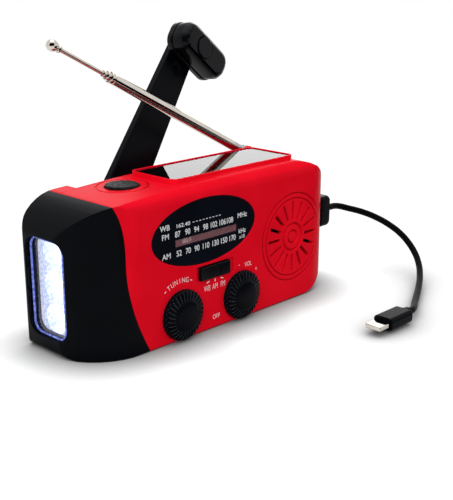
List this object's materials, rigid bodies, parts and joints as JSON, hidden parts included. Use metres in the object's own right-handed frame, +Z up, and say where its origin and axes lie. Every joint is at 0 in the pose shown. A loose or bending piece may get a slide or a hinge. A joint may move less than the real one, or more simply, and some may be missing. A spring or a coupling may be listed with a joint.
{
  "type": "emergency radio",
  "caption": "Hand-crank emergency radio with lamp in the end, oval tuning dial, speaker, solar panel, folding crank, telescopic antenna and a plugged-in charging lead.",
  "frame": {"origin": "middle of the flat base", "axes": "+Z up, +X towards the speaker end, +Y towards the crank side at the back"},
  "size_m": [0.1732, 0.1107, 0.1117],
  "materials": {
    "red_case": "satin",
    "black_plastic": "matte",
    "clear_plastic": "gloss",
    "reflector": "gloss",
    "solar": "gloss",
    "dial": "satin",
    "pale_plastic": "satin",
    "board": "satin",
    "steel": "satin",
    "chrome": "gloss",
    "brass": "satin",
    "ferrite": "matte",
    "cell_wrap": "satin",
    "rubber": "matte",
    "paper": "matte"
  },
  "bodies": {
    "body": {"front_shell": "red_case", "rear_cover": "red_case", "lamp_cap": "black_plastic", "lamp_lens": "clear_plastic", "lamp_reflector": "reflector", "lamp_leds": "pale_plastic", "led_board": "board", "solar_cell": "solar", "solar_cover": "solar", "dial_plate": "dial", "dial_window": "clear_plastic", "dial_cord": "pale_plastic", "cord_guides": "steel", "main_board": "board", "tuning_capacitor": "pale_plastic", "volume_pot": "steel", "band_switch": "steel", "lamp_switch": "black_plastic", "speaker_frame": "steel", "speaker_cone": "paper", "speaker_magnet": "steel", "battery_cell": "cell_wrap", "battery_cradle": "black_plastic", "ferrite_rod": "ferrite", "ferrite_coil": "brass", "ferrite_clips": "black_plastic", "gear_plate": "steel", "generator_case": "steel", "antenna_screw": "chrome", "usb_socket": "steel", "charge_socket": "steel", "usb_board": "board", "case_screws": "steel"},
    "crank_hub": {"crank_hub": "black_plastic", "crank_axle": "steel", "drive_gear": "brass", "hinge_pin": "steel"},
    "crank_arm": {"crank_arm": "black_plastic", "grip_pin": "steel"},
    "grip": {"grip_rear": "black_plastic", "grip_front": "black_plastic"},
    "idler": {"idler_gear": "brass"},
    "rotor": {"generator_rotor": "brass"},
    "antenna": {"antenna_base": "black_plastic", "antenna_tube_1": "chrome"},
    "antenna_stage_2": {"antenna_tube_2": "chrome"},
    "antenna_stage_3": {"antenna_tube_3": "chrome"},
    "antenna_tip": {"antenna_rod": "chrome"},
    "tuning": {"tuning_knob": "black_plastic", "tuning_drum": "pale_plastic"},
    "pointer": {"dial_pointer": "pale_plastic"},
    "volume": {"volume_knob": "black_plastic"},
    "slider": {"band_slider": "black_plastic"},
    "button": {"lamp_button": "black_plastic"},
    "lead": {"usb_plug": "rubber", "plug_shell": "chrome", "usb_cable": "rubber", "phone_connector": "rubber", "connector_tip": "chrome"}
  },
  "joints": [
    {"name": "crank_turn", "type": "hinge", "parent": "body", "child": "crank_hub", "pos_m": [-0.0194, 0.0194, 0.04], "axis": [0, -1, 0], "continuous": true},
    {"name": "arm_fold", "type": "hinge", "parent": "crank_hub", "child": "crank_arm", "pos_m": [-0.0194, 0.0249, 0.04], "axis": [-0.7771, 0, 0.6293], "range_deg": [-8, 172]},
    {"name": "grip_spin", "type": "hinge", "parent": "crank_arm", "child": "grip", "pos_m": [0.02921, 0.03576, 0.10003], "axis": [0.0876, -0.9903, 0.1082], "continuous": true},
    {"name": "idler_spin", "type": "hinge", "parent": "body", "child": "idler", "pos_m": [-0.00249, 0.008, 0.03384], "axis": [0, -1, 0], "continuous": true},
    {"name": "rotor_spin", "type": "hinge", "parent": "body", "child": "rotor", "pos_m": [0.00989, 0, 0.0321], "axis": [0, -1, 0], "continuous": true},
    {"name": "antenna_swing", "type": "hinge", "parent": "body", "child": "antenna", "pos_m": [0.0463, 0.0164, 0.057], "axis": [0, 1, 0], "range_deg": [-27, 115]},
    {"name": "antenna_slide_2", "type": "slide", "parent": "antenna", "child": "antenna_stage_2", "axis": [-0.8862, 0, 0.4633], "range_m": [0, 0.058]},
    {"name": "antenna_slide_3", "type": "slide", "parent": "antenna_stage_2", "child": "antenna_stage_3", "axis": [-0.8862, 0, 0.4633], "range_m": [0, 0.055]},
    {"name": "antenna_slide_tip", "type": "slide", "parent": "antenna_stage_3", "child": "antenna_tip", "axis": [-0.8862, 0, 0.4633], "range_m": [-0.0205, 0.02]},
    {"name": "tuning_turn", "type": "hinge", "parent": "body", "child": "tuning", "pos_m": [-0.0241, -0.0194, 0.0103], "axis": [0, 1, 0], "range_deg": [-60, 224]},
    {"name": "pointer_slide", "type": "slide", "parent": "body", "child": "pointer", "axis": [1, 0, 0], "range_m": [-0.0064, 0.0236]},
    {"name": "volume_turn", "type": "hinge", "parent": "body", "child": "volume", "pos_m": [0.0074, -0.0194, 0.0103], "axis": [0, 1, 0], "range_deg": [-135, 135]},
    {"name": "band_slide", "type": "slide", "parent": "body", "child": "slider", "axis": [1, 0, 0], "range_m": [-0.0014, 0.0024]},
    {"name": "lamp_press", "type": "slide", "parent": "body", "child": "button", "axis": [0, 0, 1], "range_m": [-0.0012, 0], "stiffness_N_per_m": 400, "springref_m": 0.0006},
    {"name": "usb_unplug", "type": "slide", "parent": "body", "child": "lead", "axis": [1, 0, 0], "range_m": [0, 0.025]}
  ],
  "couplings": [
    {"joint": "idler_spin", "follows": "crank_turn", "ratio": -4},
    {"joint": "rotor_spin", "follows": "crank_turn", "ratio": 16},
    {"joint": "pointer_slide", "follows": "tuning_turn", "m_per_rad": 0.006}
  ]
}
